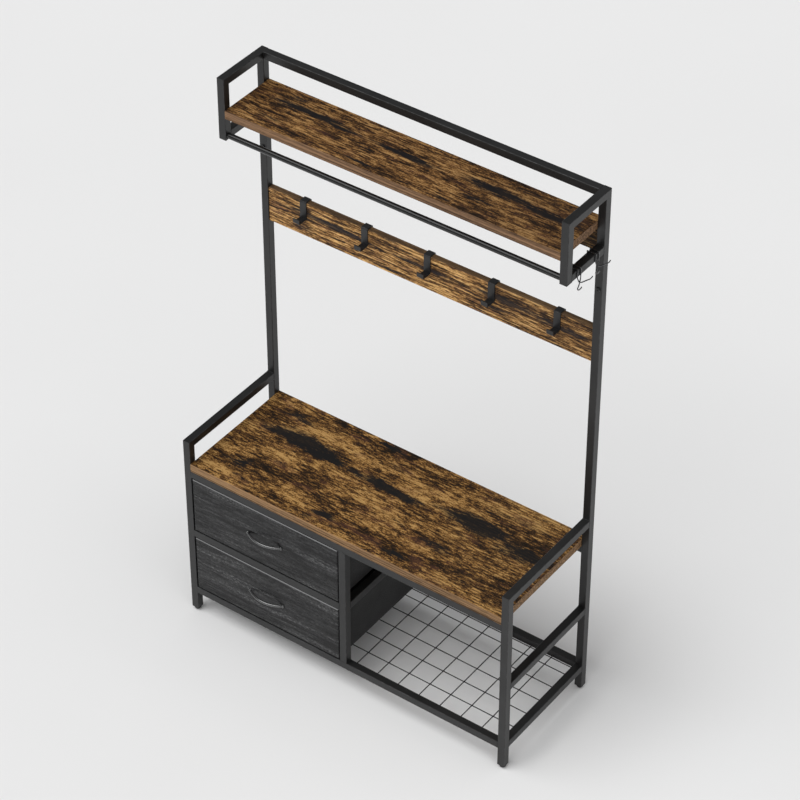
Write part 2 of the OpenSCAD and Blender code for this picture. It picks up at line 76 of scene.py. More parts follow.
# ---------------------------------------------------------------- material graphs
class Graph:
    """A node material, built from small helpers that return sockets."""

    def __init__(self, name):
        self.material = bpy.data.materials.new(name)
        self.material.use_nodes = True
        self.tree = self.material.node_tree
        self.tree.nodes.clear()

    def put(self, socket, value):
        if isinstance(value, bpy.types.NodeSocket):
            self.tree.links.new(value, socket)
        else:
            socket.default_value = value

    def put_color(self, socket, color):
        self.put(socket, color if isinstance(color, bpy.types.NodeSocket) else (*color, 1.0))

    def node(self, kind, inputs=(), **settings):
        made = self.tree.nodes.new(kind)
        for key, value in settings.items():
            setattr(made, key, value)
        for key, value in dict(inputs).items():
            self.put(made.inputs[key], value)
        return made

    def math(self, operation, a, b=0.0):
        return self.node("ShaderNodeMath", {0: a, 1: b}, operation=operation).outputs[0]

    def vector(self, operation, a, b=(0.0, 0.0, 0.0)):
        made = self.node("ShaderNodeVectorMath", {0: a, 1: b}, operation=operation)
        return made.outputs["Value" if operation == "LENGTH" else "Vector"]

    def combine(self, x, y, z):
        return self.node("ShaderNodeCombineXYZ", {0: x, 1: y, 2: z}).outputs[0]

    def separate(self, v):
        return self.node("ShaderNodeSeparateXYZ", {0: v}).outputs

    def noise(self, at, stretch, detail=3.0, roughness=0.55):
        """Noise of size 1 after stretching the place by stretch, a number for each axis."""
        made = self.node(
            "ShaderNodeTexNoise",
            {"Vector": self.vector("MULTIPLY", at, stretch), "Scale": 1.0, "Detail": detail,
             "Roughness": roughness},
        )
        return made.outputs[0]

    def step(self, value, low, high, to_low=0.0, to_high=1.0):
        """A smooth step of value from low to high."""
        made = self.node(
            "ShaderNodeMapRange",
            {"Value": value, "From Min": low, "From Max": high, "To Min": to_low, "To Max": to_high},
            interpolation_type="SMOOTHSTEP",
        )
        return made.outputs[0]

    def mix(self, factor, a, b, blend="MIX"):
        made = self.node("ShaderNodeMix", data_type="RGBA", blend_type=blend)
        self.put(made.inputs[0], factor)
        self.put_color(made.inputs[6], a)
        self.put_color(made.inputs[7], b)
        return made.outputs[2]

    def bump(self, height, strength, distance):
        inputs = {"Height": height, "Strength": strength, "Distance": distance}
        return self.node("ShaderNodeBump", inputs).outputs[0]

    def place(self):
        return self.node("ShaderNodeTexCoord").outputs["Object"]

    def corner(self):
        """1 on the rounded corners of a square bar or board, 0 on its flat faces."""
        normal = self.separate(self.node("ShaderNodeNewGeometry").outputs["True Normal"])
        size = [self.math("ABSOLUTE", n) for n in normal]
        largest = self.math("MAXIMUM", self.math("MAXIMUM", size[0], size[1]), size[2])
        return self.step(largest, 0.995, 0.94)

    def shade(self, color, roughness, normal=None, **constants):
        shader = self.node("ShaderNodeBsdfPrincipled")
        self.put_color(shader.inputs["Base Color"], color)
        self.put(shader.inputs["Roughness"], roughness)
        if normal is not None:
            self.put(shader.inputs["Normal"], normal)
        for key, value in constants.items():
            shader.inputs[key.replace("_", " ")].default_value = value
        output = self.node("ShaderNodeOutputMaterial")
        self.tree.links.new(shader.outputs[0], output.inputs["Surface"])
        return self.material


def painted(name, dark, light, roughness, grain=1.0, worn=(0.10, 0.10, 0.105), wear=0.5, ior=1.47):
    """Powder coat: a fine orange peel, small changes of tone, and a thinner coat on the corners."""
    g = Graph(name)
    at = g.place()
    cloud = g.noise(at, (9.0, 9.0, 9.0), 4.0)
    speck = g.noise(at, (1400.0, 1400.0, 1400.0), 2.0, 0.6)
    tone = g.math("ADD", g.math("MULTIPLY", cloud, 0.7), g.math("MULTIPLY", speck, 0.3))
    color = g.mix(g.step(tone, 0.35, 0.65), dark, light)
    rub = g.math("MULTIPLY", g.corner(), g.step(g.noise(at, (60.0, 60.0, 60.0), 5.0, 0.7), 0.42, 0.7))
    color = g.mix(g.math("MULTIPLY", rub, wear), color, worn)
    rough = g.math("ADD", roughness - 0.06, g.math("MULTIPLY", speck, 0.12))
    peel = g.noise(at, (700.0, 700.0, 700.0), 3.0, 0.55)
    normal = g.bump(peel, 0.10 * grain, 0.0004)
    return g.shade(color, rough, normal, IOR=ior)


# Smudges of the printed wood pattern, as (x, across, half length, half width, strength), for a
# board as wide as the seat. Narrower boards have the same print, squeezed.
SMUDGES = (
    (-0.335, 0.062, 0.105, 0.026, 1.0),
    (-0.235, 0.043, 0.070, 0.016, 0.9),
    (-0.030, 0.038, 0.100, 0.017, 1.0),
    (0.235, 0.056, 0.105, 0.030, 0.9),
    (0.395, 0.034, 0.080, 0.026, 0.85),
    (-0.120, -0.150, 0.042, 0.011, 0.9),
    (-0.403, -0.106, 0.036, 0.017, 0.65),
    (-0.121, 0.178, 0.036, 0.009, 0.75),
    (-0.395, 0.131, 0.036, 0.013, 0.7),
    (0.140, -0.162, 0.032, 0.011, 0.8),
    (0.215, -0.070, 0.046, 0.016, 0.55),
    (0.330, 0.130, 0.120, 0.010, 0.45),
    (-0.060, 0.120, 0.060, 0.009, 0.4),
)
# The wood's colours from dark to light, each with its place on the ramp.
WOOD_TONES = (
    (0.14, (0.010, 0.0065, 0.004)),
    (0.33, (0.040, 0.020, 0.008)),
    (0.50, (0.118, 0.056, 0.017)),
    (0.66, (0.262, 0.132, 0.038)),
    (0.86, (0.450, 0.265, 0.092)),
)
SMUDGE_BLACK = (0.0085, 0.0088, 0.0095)
SMUDGE_HALO = (0.035, 0.021, 0.012)
SAW_LINE = (0.026, 0.017, 0.011)
SAW_WAVE = 722.0  # radians per metre across the board: a line every 8.7 mm


def rustic(name, across, middle, squeeze, fine, light=(1.0, 1.0, 1.0), smudge=1.0):
    """Rustic brown board. across is the axis of its width, 1 for y or 2 for z, which its long
    edges face too. fine is the size of the short fibres, as numbers for along and across. light
    multiplies the colour: painted light and shade, which makes this board's copy of the print
    brighter or darker for the light it gets. smudge is the strength of the dark smudges."""
    g = Graph(name)
    at = g.place()
    xyz = g.separate(at)
    off = g.math("SUBTRACT", xyz[across], middle)
    wide = g.math("MULTIPLY", off, squeeze)
    thick = xyz[3 - across]
    flat = g.combine(xyz[0], wide, thick)
    close = g.combine(xyz[0], off, thick)
    # short fibres, specks, and the larger changes of tone
    dash = g.noise(close, (fine[0], fine[1], fine[1]), 4.0, 0.72)
    speck_size = (fine[0] * 5.0, fine[1] * 1.7, fine[1] * 1.7)
    speck = g.noise(g.vector("ADD", close, (0.31, 0.17, 0.0)), speck_size, 2.0, 0.6)
    streak = g.noise(flat, (5.0, 46.0, 40.0), 4.0, 0.62)
    patch = g.noise(flat, (6.0, 16.0, 9.0), 4.0, 0.62)
    tone = g.math("MULTIPLY", g.math("SUBTRACT", dash, 0.5), 2.3)
    tone = g.math("ADD", tone, g.math("MULTIPLY", g.math("SUBTRACT", speck, 0.5), 1.0))
    tone = g.math("ADD", tone, g.math("MULTIPLY", g.math("SUBTRACT", streak, 0.5), 0.9))
    tone = g.math("ADD", tone, g.math("MULTIPLY", g.math("SUBTRACT", patch, 0.5), 1.5))
    ramp = g.node("ShaderNodeValToRGB", {"Fac": g.math("ADD", tone, 0.5)})
    elements = ramp.color_ramp.elements
    while len(elements) < len(WOOD_TONES):
        elements.new(0.5)
    for element, (position, color) in zip(elements, WOOD_TONES):
        element.position = position
        element.color = (*color, 1.0)
    color = ramp.outputs[0]
    red = g.noise(g.vector("ADD", flat, (3.7, 1.3, 0.2)), (12.0, 30.0, 10.0), 3.0, 0.6)
    red = g.step(red, 0.54, 0.70)
    color = g.mix(g.math("MULTIPLY", red, 0.35), color, (0.11, 0.046, 0.030))
    # saw lines, towards the right end
    sway = g.math("MULTIPLY", g.noise(flat, (4.0, 6.0, 5.0), 2.0), 0.012)
    ridge = g.math("SINE", g.math("MULTIPLY", g.math("ADD", wide, sway), SAW_WAVE))
    ridge = g.math("MULTIPLY", g.step(ridge, 0.0, 0.9), g.step(xyz[0], 0.12, 0.30))
    ridge = g.math("MULTIPLY", ridge, g.step(dash, 0.32, 0.56))
    # the large smudges, feathered along the fibres
    bend = g.noise(flat, (13.0, 40.0, 5.0), 4.0, 0.62)
    drift = g.noise(g.vector("ADD", flat, (1.1, 5.2, 0.0)), (15.0, 52.0, 5.0), 4.0, 0.62)
    dx = g.math("MULTIPLY", g.math("SUBTRACT", bend, 0.5), 0.15)
    dy = g.math("MULTIPLY", g.math("SUBTRACT", drift, 0.5), 0.055)
    around = g.combine(g.math("ADD", xyz[0], dx), g.math("ADD", wide, dy), 0.0)
    mask = None
    for x, y, half_length, half_width, strength in SMUDGES:
        away = g.vector("SUBTRACT", around, (x, y, 0.0))
        far = g.vector("LENGTH", g.vector("MULTIPLY", away, (1.0 / half_length, 1.0 / half_width, 0.0)))
        one = g.step(far, 1.8, 0.15, 0.0, strength)
        mask = one if mask is None else g.math("MAXIMUM", mask, one)
    fleck = g.noise(g.vector("ADD", flat, (7.7, 2.9, 0.4)), (10.0, 42.0, 12.0), 4.0, 0.65)
    fleck = g.step(fleck, 0.56, 0.74)
    mask = g.math("MAXIMUM", mask, g.math("MULTIPLY", fleck, 0.62))
    color = g.mix(g.math("MULTIPLY", g.step(mask, 0.05, 0.6), 0.45 * smudge), color, SMUDGE_HALO)
    ragged = g.math("SUBTRACT", g.math("MULTIPLY", mask, 1.25), g.math("MULTIPLY", tone, 0.55))
    ragged = g.math("ADD", ragged, g.math("MULTIPLY", g.math("SUBTRACT", bend, 0.5), 0.6))
    color = g.mix(g.math("MULTIPLY", g.step(ragged, 0.34, 0.86), 0.94 * smudge), color, SMUDGE_BLACK)
    color = g.mix(g.math("MULTIPLY", ridge, 0.62), color, SAW_LINE)
    # the banded edges are plainer, with a few lines along them
    normal = g.separate(g.node("ShaderNodeNewGeometry").outputs["True Normal"])
    edge_on = g.math("MAXIMUM", g.math("ABSOLUTE", normal[across]), g.math("ABSOLUTE", normal[0]))
    on_edge = g.step(edge_on, 0.45, 0.6)
    line = g.noise(at, (1.4, 210.0, 210.0), 3.0, 0.6)
    grain = g.noise(at, (34.0, 420.0, 420.0), 3.0, 0.7)
    level = g.math("ADD", g.math("MULTIPLY", line, 0.65), g.math("MULTIPLY", grain, 0.35))
    tint = g.mix(g.step(level, 0.36, 0.62), (0.075, 0.042, 0.022), (0.37, 0.220, 0.110))
    if across == 2:
        # painted shade: a standing board's upward-facing upper edge is painted darker
        dark = g.mix(g.step(level, 0.36, 0.62), (0.030, 0.018, 0.009), (0.085, 0.050, 0.024))
        tint = g.mix(g.step(normal[2], 0.45, 0.6), tint, dark)
    color = g.mix(g.math("MULTIPLY", on_edge, 0.9), color, tint)
    # painted light and shade: the whole board's colour is scaled brighter or darker by light
    color = g.mix(1.0, color, light, "MULTIPLY")
    height = g.math("SUBTRACT", g.math("MULTIPLY", dash, 0.7), g.math("MULTIPLY", ridge, 0.4))
    bumped = g.bump(height, 0.30, 0.0007)
    rough = g.math("ADD", 0.52, g.math("MULTIPLY", dash, 0.22))
    return g.shade(color, rough, bumped, IOR=1.24)


def black_grain(name):
    """Black board with a fine pale grain along x and a few long dark lines."""
    g = Graph(name)
    at = g.place()
    xyz = g.separate(at)
    wander = g.math("MULTIPLY", g.noise(at, (3.0, 3.0, 9.0), 2.0), 0.035)
    p = g.combine(xyz[0], xyz[1], g.math("ADD", xyz[2], wander))
    dash = g.noise(at, (26.0, 150.0, 150.0), 4.0, 0.75)
    speck = g.noise(at, (120.0, 260.0, 260.0), 2.0, 0.6)
    streak = g.noise(p, (3.2, 30.0, 58.0), 4.0, 0.62)
    rings = g.noise(g.vector("ADD", p, (2.3, 0.7, 4.1)), (1.1, 20.0, 44.0), 1.0, 0.5)
    tone = g.math("ADD", g.math("MULTIPLY", dash, 0.42), g.math("MULTIPLY", speck, 0.26))
    tone = g.math("ADD", tone, g.math("MULTIPLY", streak, 0.32))
    color = g.mix(g.step(tone, 0.41, 0.62), (0.004, 0.004, 0.0042), (0.046, 0.046, 0.047))
    pale = g.math("MULTIPLY", g.step(streak, 0.54, 0.70), g.step(speck, 0.46, 0.66))
    color = g.mix(g.math("MULTIPLY", pale, 0.7), color, (0.17, 0.17, 0.171))
    line = g.step(g.math("ABSOLUTE", g.math("SUBTRACT", rings, 0.5)), 0.020, 0.004)
    also = g.step(g.math("ABSOLUTE", g.math("SUBTRACT", rings, 0.58)), 0.016, 0.004)
    line = g.math("MULTIPLY", g.math("MAXIMUM", line, also), g.step(dash, 0.30, 0.52))
    color = g.mix(g.math("MULTIPLY", line, 0.8), color, (0.004, 0.004, 0.0042))
    # painted highlight: the rounded upper front edge is painted pale, where the light from above
    # catches it
    facing = g.separate(g.node("ShaderNodeNewGeometry").outputs["True Normal"])
    front = g.math("MULTIPLY", facing[1], -1.0)
    rounded = g.math("MULTIPLY", g.step(front, 0.40, 0.55), g.step(front, 0.985, 0.9))
    rounded = g.math("MULTIPLY", rounded, g.step(facing[2], 0.1, 0.4))
    color = g.mix(g.math("MULTIPLY", rounded, 0.85), color, (0.24, 0.24, 0.243))
    # near black on the sides and top: a black seal, and painted shade in the gaps around the front
    color = g.mix(g.step(front, 0.50, 0.35), color, (0.003, 0.003, 0.003))
    height = g.math("SUBTRACT", g.math("MULTIPLY", dash, 0.8), g.math("MULTIPLY", line, 0.5))
    normal = g.bump(height, 0.16, 0.0004)
    rough = g.math("ADD", 0.17, g.math("MULTIPLY", dash, 0.16))
    return g.shade(color, rough, normal, IOR=1.30)


def felt(name, dark, light):
    """Pressed non-woven fabric: short crossed fibres and a dotted calender pattern."""
    g = Graph(name)
    at = g.place()
    one = g.noise(at, (900.0, 900.0, 260.0), 3.0, 0.7)
    two = g.noise(at, (260.0, 260.0, 900.0), 3.0, 0.7)
    cloud = g.noise(at, (16.0, 16.0, 16.0), 3.0)
    dots = g.node("ShaderNodeTexVoronoi", {"Vector": at, "Scale": 620.0}).outputs["Distance"]
    fibre = g.math("MULTIPLY", g.math("ADD", one, two), 0.5)
    tone = g.math("ADD", g.math("MULTIPLY", fibre, 0.7), g.math("MULTIPLY", cloud, 0.3))
    color = g.mix(g.step(tone, 0.36, 0.64), dark, light)
    height = g.math("ADD", fibre, g.math("MULTIPLY", g.step(dots, 0.1, 0.5), 0.35))
    normal = g.bump(height, 0.5, 0.0007)
    return g.shade(color, g.math("ADD", 0.78, g.math("MULTIPLY", fibre, 0.2)), normal,
                   IOR=1.4, Sheen_Weight=0.12, Sheen_Roughness=0.5)


def bare_metal(name, color, roughness):
    """Drawn wire or zinc plate, with fine drawing lines and small stains."""
    g = Graph(name)
    at = g.place()
    line = g.noise(at, (500.0, 500.0, 2400.0), 3.0, 0.6)
    stain = g.noise(at, (70.0, 70.0, 70.0), 4.0, 0.6)
    low = tuple(c * 0.55 for c in color)
    tone = g.mix(g.step(stain, 0.35, 0.65), low, color)
    rough = g.math("ADD", roughness - 0.08, g.math("MULTIPLY", line, 0.2))
    return g.shade(tone, rough, g.bump(line, 0.12, 0.0002), Metallic=1.0)


def moulded(name, dark, light, roughness):
    """Moulded plastic with a fine spark-eroded grain."""
    g = Graph(name)
    at = g.place()
    grain = g.noise(at, (1800.0, 1800.0, 1800.0), 2.0)
    cloud = g.noise(at, (90.0, 90.0, 90.0), 3.0)
    color = g.mix(g.step(cloud, 0.35, 0.65), dark, light)
    rough = g.math("ADD", roughness - 0.05, g.math("MULTIPLY", cloud, 0.14))
    return g.shade(color, rough, g.bump(grain, 0.12, 0.0003), IOR=1.46)


def beech(name):
    """Plain beech for the dowel pins."""
    g = Graph(name)
    at = g.place()
    fibre = g.noise(at, (60.0, 900.0, 900.0), 4.0, 0.6)
    color = g.mix(g.step(fibre, 0.35, 0.65), (0.36, 0.22, 0.11), (0.55, 0.38, 0.21))
    rough = g.math("ADD", 0.55, g.math("MULTIPLY", fibre, 0.15))
    return g.shade(color, rough, g.bump(fibre, 0.2, 0.0004))


def middle_of(node, axis):
    low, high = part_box(node)
    return (low[axis] + high[axis]) / 2


def width_of(node, axis):
    low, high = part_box(node)
    return high[axis] - low[axis]


SEAT_WIDTH = width_of("seat_board", 1)
paint = painted("frame_paint", (0.009, 0.0091, 0.0092), (0.016, 0.0161, 0.0162), 0.40)
rod_paint = painted("rod_paint", (0.010, 0.010, 0.0102), (0.015, 0.015, 0.0152), 0.20,
                    grain=0.2, wear=0.0)
wire_paint = painted("wire_paint", (0.010, 0.010, 0.0105), (0.018, 0.018, 0.0185), 0.40, wear=0.0)
hook_paint = painted("hook_paint", (0.014, 0.0142, 0.015), (0.024, 0.0242, 0.025), 0.38)
handle_paint = painted("handle_paint", (0.014, 0.014, 0.0145), (0.022, 0.022, 0.0225), 0.20,
                       grain=0.4, wear=0.0, ior=2.15)
bolt_black = painted("bolt_black", (0.008, 0.008, 0.0085), (0.016, 0.016, 0.0165), 0.32)
seat_wood = rustic("seat_wood", 1, middle_of("seat_board", 1), 1.0, (42.0, 190.0))
# The light factors paint light and shade into each board's copy of the same print: the shelf and back
# board are darkened, the hook board is brightened.
shelf_wood = rustic("shelf_wood", 1, middle_of("shelf_board", 1),
                    SEAT_WIDTH / width_of("shelf_board", 1), (30.0, 220.0), light=(0.86, 0.84, 0.92))
hook_wood = rustic("hook_board_wood", 2, middle_of("hook_board", 2),
                   SEAT_WIDTH / width_of("hook_board", 2), (16.0, 210.0),
                   light=(1.95, 2.05, 2.35), smudge=0.85)
back_wood = rustic("back_board_wood", 2, middle_of("back_board", 2),
                   SEAT_WIDTH / width_of("back_board", 2), (16.0, 210.0), light=(0.50, 0.51, 0.58))
drawer_wood = black_grain("drawer_wood")
box_fabric = felt("box_fabric", (0.010, 0.010, 0.0105), (0.022, 0.022, 0.0225))
base_fabric = felt("base_fabric", (0.014, 0.014, 0.0145), (0.030, 0.030, 0.031))
thread = felt("thread", (0.020, 0.020, 0.021), (0.050, 0.050, 0.052))
bright_wire = bare_metal("bright_wire", (0.17, 0.17, 0.175), 0.34)
zinc = bare_metal("zinc", (0.56, 0.56, 0.58), 0.40)
black_plastic = moulded("black_plastic", (0.010, 0.010, 0.0105), (0.018, 0.018, 0.0185), 0.48)
pin_wood = beech("pin_wood")

BY_SLOT = {
    "steel_frame": paint, "mesh_wire": wire_paint, "hook": hook_paint, "handle": handle_paint,
    "bolt": bolt_black, "wire_hook": bright_wire, "zinc": zinc, "black_wood": drawer_wood,
    "pin_wood": pin_wood, "fabric": box_fabric, "base_board": base_fabric,
    "foot_plastic": black_plastic,
}
BY_NODE = {
    "seat_board": seat_wood, "shelf_board": shelf_wood, "hook_board": hook_wood,
    "back_board": back_wood, "hanging_rod": rod_paint,
}
for part in frame["record"]["subparts"]:
    made = BY_NODE.get(part["node"]) or BY_SLOT[part["material_slot"]]
    mesh = nodes[part["node"]].data
    mesh.materials.clear()
    mesh.materials.append(made)


# ---------------------------------------------------------------- mesh helpers
def add_piece(name, mesh, material, body, replaced=(), smooth=True):
    mesh.materials.append(material)
    if smooth:
        for face in mesh.polygons:
            face.use_smooth = True
    piece = bpy.data.objects.new(name, mesh)
    bpy.context.scene.collection.objects.link(piece)
    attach(piece, body)
    if replaced:
        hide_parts(*replaced)


def sweep(bm, path, radius, sides=12, close_ends=True):
    """A tube along path. radius is a number, or one for each point."""
    rings = []
    side = None
    for i, point in enumerate(path):
        ahead = path[min(i + 1, len(path) - 1)] - path[max(i - 1, 0)]
        ahead.normalize()
        if side is None:
            side = ahead.cross(Vector((0, 0, 1)))
            if side.length < 1e-6:
                side = ahead.cross(Vector((1, 0, 0)))
        side = (side - ahead * side.dot(ahead)).normalized()
        over = side.cross(ahead)
        r = radius[i] if isinstance(radius, (list, tuple)) else radius
        ring = []
        for k in range(sides):
            a = 2 * math.pi * k / sides
            ring.append(bm.verts.new(point + side * (r * math.cos(a)) + over * (r * math.sin(a))))
        rings.append(ring)
    for one, two in zip(rings, rings[1:]):
        for k in range(sides):
            bm.faces.new((one[k], one[(k + 1) % sides], two[(k + 1) % sides], two[k]))
    if close_ends:
        bm.faces.new(list(reversed(rings[0])))
        bm.faces.new(rings[-1])


def finish_mesh(bm, name):
    bmesh.ops.recalc_face_normals(bm, faces=bm.faces)
    mesh = bpy.data.meshes.new(name)
    bm.to_mesh(mesh)
    bm.free()
    return mesh


def spline(points, steps=8):
    """Catmull-Rom through points."""
    out = []
    last = len(points) - 1
    for i in range(last):
        p0, p1, p2, p3 = (points[max(0, min(last, i + k))] for k in (-1, 0, 1, 2))
        for s in range(steps):
            t = s / steps
            out.append(0.5 * ((2 * p1) + (p2 - p0) * t + (2 * p0 - 5 * p1 + 4 * p2 - p3) * t * t
                              + (3 * p1 - p0 - 3 * p2 + p3) * t * t * t))
    out.append(points[-1].copy())
    return out


# ---------------------------------------------------------------- drawer fronts
def drawer_front(which):
    """A board with softly rounded front edges, wrapped in a black wood print."""
    low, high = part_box(f"{which}_drawer_front")
    bm = bmesh.new()
    bmesh.ops.create_cube(bm, size=1.0)
    for v in bm.verts:
        v.co = Vector((low[a] + (v.co[a] + 0.5) * (high[a] - low[a]) for a in range(3)))
    front = [e for e in bm.edges if all(abs(v.co.y - low.y) < 1e-6 for v in e.verts)]
    bmesh.ops.bevel(bm, geom=front, offset=4.5 * MM, segments=5, profile=0.5, affect="EDGES")
    rest = [e for e in bm.edges if e.calc_face_angle(0.0) > 1.0]
    bmesh.ops.bevel(bm, geom=rest, offset=0.8 * MM, segments=2, profile=0.5, affect="EDGES")
    mesh = finish_mesh(bm, f"{which}_front_panel")
    add_piece(f"{which}_front_panel", mesh, drawer_wood, f"{which}_drawer",
              [f"{which}_drawer_front"], smooth=False)
    for face in mesh.polygons:
        face.use_smooth = face.area < 0.004


# ---------------------------------------------------------------- fabric boxes
def rounded_loop(low, high, radius, pitch):
    """Points around a rectangle with rounded corners, with the outward direction at each."""
    corners = [(high.x - radius, high.y - radius, 0), (low.x + radius, high.y - radius, 90),
               (low.x + radius, low.y + radius, 180), (high.x - radius, low.y + radius, 270)]
    points = []
    for i, (cx, cy, start) in enumerate(corners):
        for k in range(7):
            a = math.radians(start + 15 * k)
            points.append((Vector((cx + radius * math.cos(a), cy + radius * math.sin(a), 0)),
                           Vector((math.cos(a), math.sin(a), 0))))
        nx, ny, nstart = corners[(i + 1) % 4]
        a = math.radians(nstart)
        target = Vector((nx + radius * math.cos(a), ny + radius * math.sin(a), 0))
        from_point, out = points[-1]
        count = max(1, round((target - from_point).length / pitch))
        for k in range(1, count):
            points.append((from_point.lerp(target, k / count), out.copy()))
    return points


def fabric_box(which, seed):
    """A stiff non-woven box with bowed walls, a turned hem, piped corners and a row of stitches."""
    low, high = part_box(f"{which}_drawer_box")
    wall = 2.5 * MM
    hem = 16 * MM
    corner = 6 * MM
    height = high.z - low.z
    below = height - hem
    loop = rounded_loop(low, high, corner, 9 * MM)
    centre = (low + high) / 2
    half = (high - low) / 2
    # outside going up, over the hem, and down the inside: (height, inset)
    levels = [(0.0, 2.2 * MM), (1.0 * MM, 0.9 * MM), (3.5 * MM, 0.5 * MM)]
    levels += [(3.5 * MM + (below - 7 * MM) * k / 15, 0.5 * MM) for k in range(1, 16)]
    levels += [(below - 1.0 * MM, 0.6 * MM), (below, -0.3 * MM), (below + 1.5 * MM, -0.7 * MM),
               (height - hem / 2, -0.8 * MM), (height - 2.2 * MM, -0.7 * MM), (height - 0.6 * MM, 0.0),
               (height, 1.2 * MM), (height - 0.6 * MM, wall - 0.2 * MM),
               (height - 2.2 * MM, wall + 0.7 * MM), (below, wall + 0.7 * MM),
               (below - 1.0 * MM, wall - 0.3 * MM)]
    levels += [(below - 2 * MM - (below - 2 * MM - wall - 3 * MM) * k / 12, wall - 0.3 * MM)
               for k in range(1, 13)]
    levels += [(wall, wall + 1.0 * MM)]
    bm = bmesh.new()
    rings = []
    for z, inset in levels:
        ring = []
        up = z / height
        for point, out in loop:
            axis = 0 if abs(out.y) > 0.9 else 1
            along = abs(point[axis] - centre[axis]) / half[axis]
            free = max(0.0, 1.0 - along ** 3) * math.sin(math.pi * min(1.0, up * 0.93))
            place = Vector((point.x, point.y, low.z + z))
            ripple = noise.noise(place * 9.0 + Vector((seed, 0, 0))) * 1.6
            ripple += noise.noise(place * 26.0) * 0.5
            # the wall behind the drawer's front is held flat and does not sag
            held = out.y <= -0.9
            bow = 0.3 * free * MM if held else (1.5 + ripple) * free * MM
            sag = -1.2 * MM * max(0.0, up - 0.5) * 2 * max(0.0, 1.0 - along ** 2)
            sag *= 0.6 + 0.4 * noise.noise(place * 5.0)
            drop = Vector((0, 0, 0.0 if held else sag))
            ring.append(bm.verts.new(place - out * (inset + bow) + drop))
        rings.append(ring)
    count = len(loop)
    for one, two in zip(rings, rings[1:]):
        for k in range(count):
            bm.faces.new((one[k], one[(k + 1) % count], two[(k + 1) % count], two[k]))
    bm.faces.new(list(reversed(rings[0])))
    bm.faces.new(rings[-1])
    mesh = finish_mesh(bm, f"{which}_fabric_box")
    add_piece(f"{which}_fabric_box", mesh, box_fabric, f"{which}_drawer",
              [f"{which}_drawer_box"])
    # piping up the four corners
    bm = bmesh.new()
    for sx in (-1, 1):
        for sy in (-1, 1):
            x = centre.x + sx * (half.x - corner + corner * 0.7071)
            y = centre.y + sy * (half.y - corner + corner * 0.7071)
            path = [Vector((x, y, low.z + 3 * MM + (below - 4 * MM) * k / 10)) for k in range(11)]
            sweep(bm, path, 1.1 * MM, 8)
    mesh = finish_mesh(bm, f"{which}_piping")
    add_piece(f"{which}_piping", mesh, box_fabric, f"{which}_drawer")
    # one row of stitches along the hem
    bm = bmesh.new()
    pitch, length = 5.0 * MM, 3.2 * MM
    rise = Vector((0, 0, low.z + below + 3.0 * MM))
    walked = 0.0
    for i in range(count):
        a, out = loop[i]
        b, _ = loop[(i + 1) % count]
        span = (b - a).length
        while walked < span:
            start = a.lerp(b, walked / span)
            stop = start + (b - a).normalized() * length
            lift = out * 0.95 * MM
            arch = [start + lift * 0.6 + rise, (start + stop) / 2 + lift + rise,
                    stop + lift * 0.6 + rise]
            sweep(bm, arch, 0.45 * MM, 5)
            walked += pitch
        walked -= span
    mesh = finish_mesh(bm, f"{which}_stitches")
    add_piece(f"{which}_stitches", mesh, thread, f"{which}_drawer")


# ---------------------------------------------------------------- handles
def handle(which):
    """A bow bent from a round bar that thins a little towards its two ends."""
    low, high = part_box(f"{which}_drawer_handle")
    mid = (low + high) / 2
    chord = (high.x - low.x) / 2
    front_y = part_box(f"{which}_drawer_front")[0].y
    reach = front_y - low.y
    radius = (chord * chord + reach * reach) / (2 * reach)
    bar, boss = 4.0 * MM, 3.8 * MM
    half_angle = math.asin(chord / radius) - 1.2 * MM / radius
    centre = Vector((mid.x, low.y + radius, mid.z))
    bm = bmesh.new()
    count = 56
    path, radii = [], []
    for i in range(count + 1):
        f = i / count * 2 - 1
        a = half_angle * f
        r = bar * (1.0 - 0.25 * abs(f) ** 2.5)
        path.append(centre + Vector((math.sin(a), -math.cos(a), 0)) * (radius - r))
        radii.append(r)
    sweep(bm, path, radii, 20)
    # the two bosses that the screws enter
    for side in (-1, 1):
        x = mid.x + side * (chord - 6 * MM)
        path = [Vector((x, front_y - boss + boss * k / 4, mid.z)) for k in range(5)]
        sweep(bm, path, [3.5 * MM, 3.8 * MM, 4.1 * MM, 4.5 * MM, 4.9 * MM], 20)
    for v in bm.verts:
        v.co.y = min(v.co.y, front_y)
    mesh = finish_mesh(bm, f"{which}_bow_handle")
    add_piece(f"{which}_bow_handle", mesh, handle_paint, f"{which}_drawer",
              [f"{which}_drawer_handle"])


